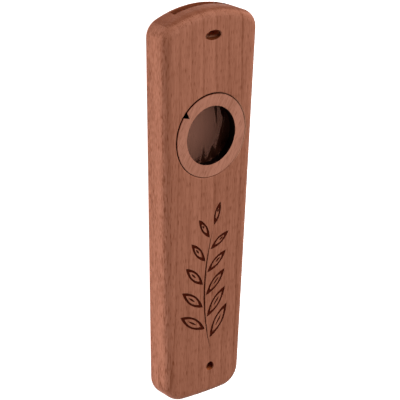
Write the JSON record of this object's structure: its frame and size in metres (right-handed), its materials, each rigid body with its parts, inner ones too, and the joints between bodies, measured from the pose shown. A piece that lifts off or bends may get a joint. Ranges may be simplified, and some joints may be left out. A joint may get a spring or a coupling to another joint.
{
  "type": "kazoo",
  "caption": "Flat tapered wooden kazoo with a blow slot, an oval vent, a film window held by a press-in ring, an engraved sprig and a lanyard hole.",
  "frame": {"origin": "middle of the back face, on which the kazoo lies", "axes": "+Y along the body towards the mouth end, +Z out of the front face, +X to the right seen from the front"},
  "size_m": [0.0352, 0.125, 0.0115],
  "materials": {
    "body_wood": "sanded, thin oil",
    "ring_wood": "sanded, laser-cut edges",
    "hoop_card": "plain card",
    "clear_film": "clear, creased"
  },
  "bodies": {
    "shell": {"front_board": "body_wood", "back_board": "body_wood"},
    "membrane": {"membrane_hoop": "hoop_card", "membrane_film": "clear_film"},
    "ring": {"retaining_ring": "ring_wood"}
  },
  "joints": [
    {"name": "membrane_lift", "type": "slide", "parent": "shell", "child": "membrane", "axis": [0, 0, 1], "range_m": [0, 0.008]},
    {"name": "ring_pull", "type": "slide", "parent": "membrane", "child": "ring", "axis": [0, 0, 1], "range_m": [0, 0.012]}
  ]
}
